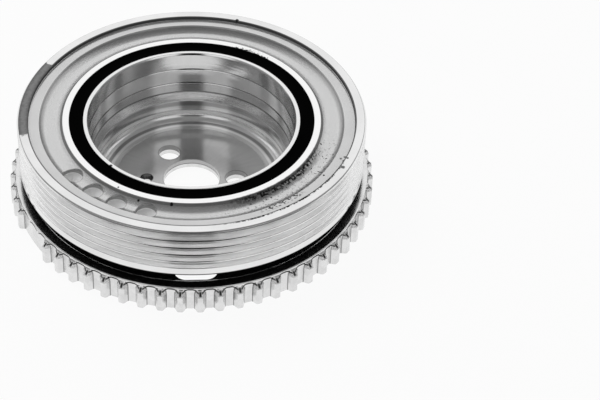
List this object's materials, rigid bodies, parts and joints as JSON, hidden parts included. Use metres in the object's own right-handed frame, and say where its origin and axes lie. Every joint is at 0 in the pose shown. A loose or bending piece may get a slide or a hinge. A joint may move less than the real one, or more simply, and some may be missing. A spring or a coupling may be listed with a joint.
{
  "type": "crankshaft vibration damper pulley",
  "caption": "Grooved belt pulley with a rubber-isolated inertia ring on a pressed steel cup hub, and a toothed trigger wheel with a gap on its rear.",
  "frame": {"origin": "on the axis in the rear mounting face, which touches the crankshaft", "axes": "+Z along the axis towards the front face; +X through the bolt hole opposite the dowel hole; +Y completes the right-handed frame"},
  "size_m": [0.1486, 0.1486, 0.0384],
  "materials": {
    "pulley_ring": "bright plated, fine turned marks, cast grain in the front recess",
    "rubber_ring": "matt moulded",
    "hub": "deep drawn sheet, grey and streaked inside",
    "trigger_wheel": "bright plated pressed sheet"
  },
  "bodies": {
    "root": {"pulley_ring": "pulley_ring", "rubber_ring": "rubber_ring", "hub": "hub", "trigger_wheel": "trigger_wheel"}
  },
  "joints": []
}
